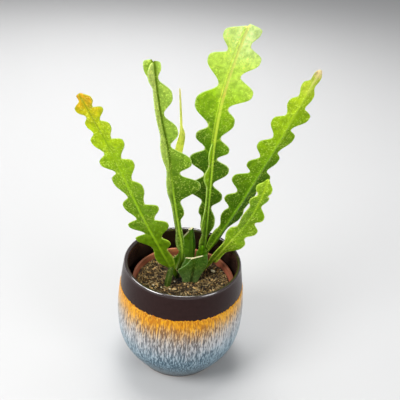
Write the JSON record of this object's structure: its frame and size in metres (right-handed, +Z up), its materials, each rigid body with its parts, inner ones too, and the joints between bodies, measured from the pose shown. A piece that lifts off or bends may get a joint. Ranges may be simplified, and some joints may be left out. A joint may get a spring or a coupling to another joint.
{
  "type": "potted fishbone cactus",
  "caption": "Fishbone cactus with flat lobed stems, standing in soil in a plastic nursery pot inside a glazed ceramic pot with a bare dark lip.",
  "frame": {"origin": "centre of the ceramic pot's flat base", "axes": "+Z up along the ceramic pot's axis, -Y towards the side that the stems' broad faces are seen from, +X to that side's right"},
  "size_m": [0.2444, 0.151, 0.4068],
  "materials": {
    "ceramic_pot": "gloss",
    "nursery_pot": "satin",
    "soil": "matte",
    "stem_left": "satin",
    "stem_mid_left": "satin",
    "shoot_back": "satin",
    "stem_centre": "satin",
    "stem_right": "satin",
    "stem_right_low": "satin",
    "cutting_front": "satin",
    "cutting_back": "satin",
    "cutting_side": "satin",
    "stub_left": "satin"
  },
  "bodies": {
    "root": {"ceramic_pot": "ceramic_pot", "nursery_pot": "nursery_pot", "soil": "soil", "stem_left": "stem_left", "stem_mid_left": "stem_mid_left", "shoot_back": "shoot_back", "stem_centre": "stem_centre", "stem_right": "stem_right", "stem_right_low": "stem_right_low", "cutting_front": "cutting_front", "cutting_back": "cutting_back", "cutting_side": "cutting_side", "stub_left": "stub_left"}
  },
  "joints": []
}
